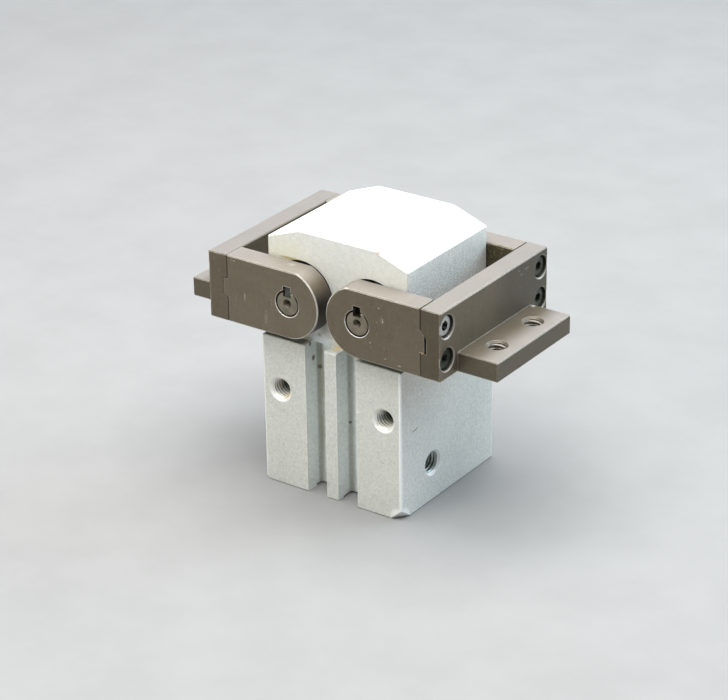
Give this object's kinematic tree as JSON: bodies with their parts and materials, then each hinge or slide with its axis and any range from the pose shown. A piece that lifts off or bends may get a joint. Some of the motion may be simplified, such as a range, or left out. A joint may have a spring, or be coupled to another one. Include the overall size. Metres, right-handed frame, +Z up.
{
  "type": "pneumatic angular gripper",
  "caption": "Two-finger 180 degree angular gripper: square aluminium body with switch grooves and air ports, and keyed steel finger frames that swing up together.",
  "frame": {"origin": "middle of the body's bottom face", "axes": "+X along the front face from the left to the right finger, +Y from the front to the rear, +Z up towards the gripping end"},
  "size_m": [0.0792, 0.0414, 0.06],
  "materials": {
    "anodised_aluminium": "blasted, clear hard anodised",
    "turned_aluminium": "turned",
    "finger_steel": "ground, hardened, satin brown-grey",
    "shaft_steel": "turned and ground",
    "inner_steel": "ground",
    "screw_steel": "oxide",
    "sintered_bronze": "sintered, oiled",
    "seal_rubber": "matt",
    "magnet_material": "matt"
  },
  "bodies": {
    "gripper_body": {"bearing_holder_front_left": "turned_aluminium", "bearing_holder_front_right": "turned_aluminium", "bearing_holder_rear_left": "turned_aluminium", "bearing_holder_rear_right": "turned_aluminium", "body": "anodised_aluminium", "bottom_cap": "turned_aluminium", "cap_o_ring": "seal_rubber", "retaining_ring": "inner_steel", "rod_bush": "sintered_bronze", "rod_seal": "seal_rubber", "shaft_bush_front_left": "sintered_bronze", "shaft_bush_front_right": "sintered_bronze", "shaft_bush_rear_left": "sintered_bronze", "shaft_bush_rear_right": "sintered_bronze"},
    "piston_group": {"joint": "inner_steel", "joint_pins": "inner_steel", "joint_rollers": "inner_steel", "magnet": "magnet_material", "magnet_holder": "turned_aluminium", "piston": "turned_aluminium", "piston_seal": "seal_rubber"},
    "right_finger": {"arm_front_right": "finger_steel", "arm_keys_right": "inner_steel", "arm_rear_right": "finger_steel", "cross_plate_right": "finger_steel", "lever_key_right": "inner_steel", "lever_right": "inner_steel", "plate_screws_right": "screw_steel", "shaft_right": "shaft_steel"},
    "left_finger": {"arm_front_left": "finger_steel", "arm_keys_left": "inner_steel", "arm_rear_left": "finger_steel", "cross_plate_left": "finger_steel", "lever_key_left": "inner_steel", "lever_left": "inner_steel", "plate_screws_left": "screw_steel", "shaft_left": "shaft_steel"}
  },
  "joints": [
    {"name": "right_finger_swing", "type": "hinge", "parent": "gripper_body", "child": "right_finger", "pos_m": [0.009, 0, 0.0454], "axis": [0, -1, 0], "range_deg": [0, 93]},
    {"name": "left_finger_swing", "type": "hinge", "parent": "gripper_body", "child": "left_finger", "pos_m": [-0.009, 0, 0.0454], "axis": [0, 1, 0], "range_deg": [0, 93]},
    {"name": "piston_slide", "type": "slide", "parent": "gripper_body", "child": "piston_group", "axis": [0, 0, -1], "range_m": [0, 0.00731]}
  ],
  "couplings": [
    {"joint": "left_finger_swing", "follows": "right_finger_swing", "ratio": 1},
    {"joint": "piston_slide", "follows": "right_finger_swing", "m_per_rad": 0.0045}
  ]
}
